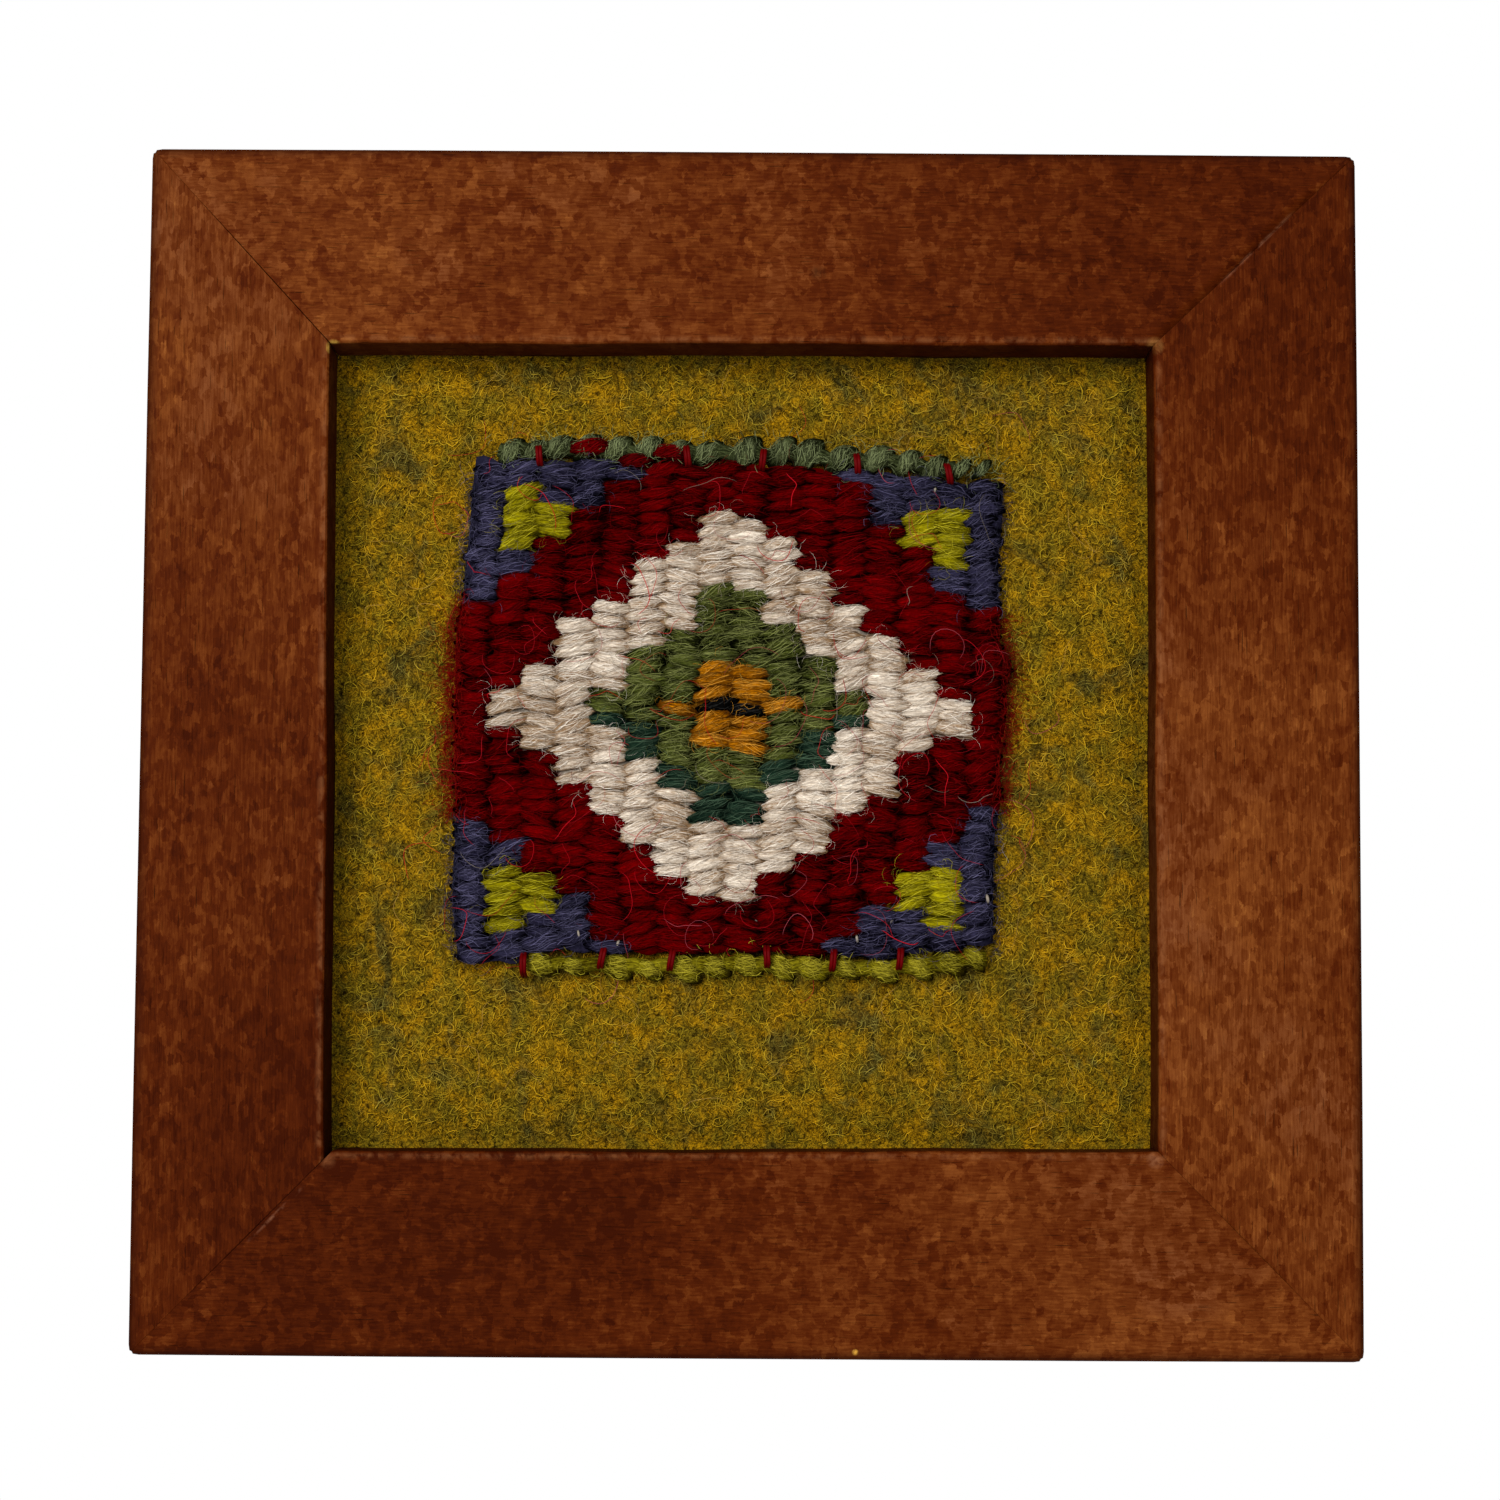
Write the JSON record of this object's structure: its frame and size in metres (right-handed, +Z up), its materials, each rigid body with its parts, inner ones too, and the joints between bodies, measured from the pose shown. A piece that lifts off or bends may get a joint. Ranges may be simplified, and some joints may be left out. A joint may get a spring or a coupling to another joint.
{
  "type": "woven wall hanging in a wooden frame",
  "caption": "Small weft-faced wool tapestry with twined cords at its top and foot, sewn on thick felt and set deep in a flat stained wooden frame with mitred corners.",
  "frame": {"origin": "middle of the top rail's lower back edge, at the wall plane, where a nail or hook in the wall bears", "axes": "+Z up along the wall, +Y out of the back into the wall, +X to the right of a viewer who faces the front"},
  "size_m": [0.1524, 0.019, 0.1512],
  "materials": {
    "stained_wood": "red-brown stain, satin",
    "wool_felt": "mottled ochre and olive felt, matt and hairy",
    "tapestry_wool": "two-ply wool, deep red with coloured motifs, matt",
    "header_wool": "dull green wool, matt",
    "footer_wool": "yellow-green wool, matt"
  },
  "bodies": {
    "root": {"frame_top": "stained_wood", "frame_bottom": "stained_wood", "frame_left": "stained_wood", "frame_right": "stained_wood", "felt_ground": "wool_felt", "tapestry_panel": "tapestry_wool", "header_cord": "header_wool", "footer_cord": "footer_wool"}
  },
  "joints": []
}
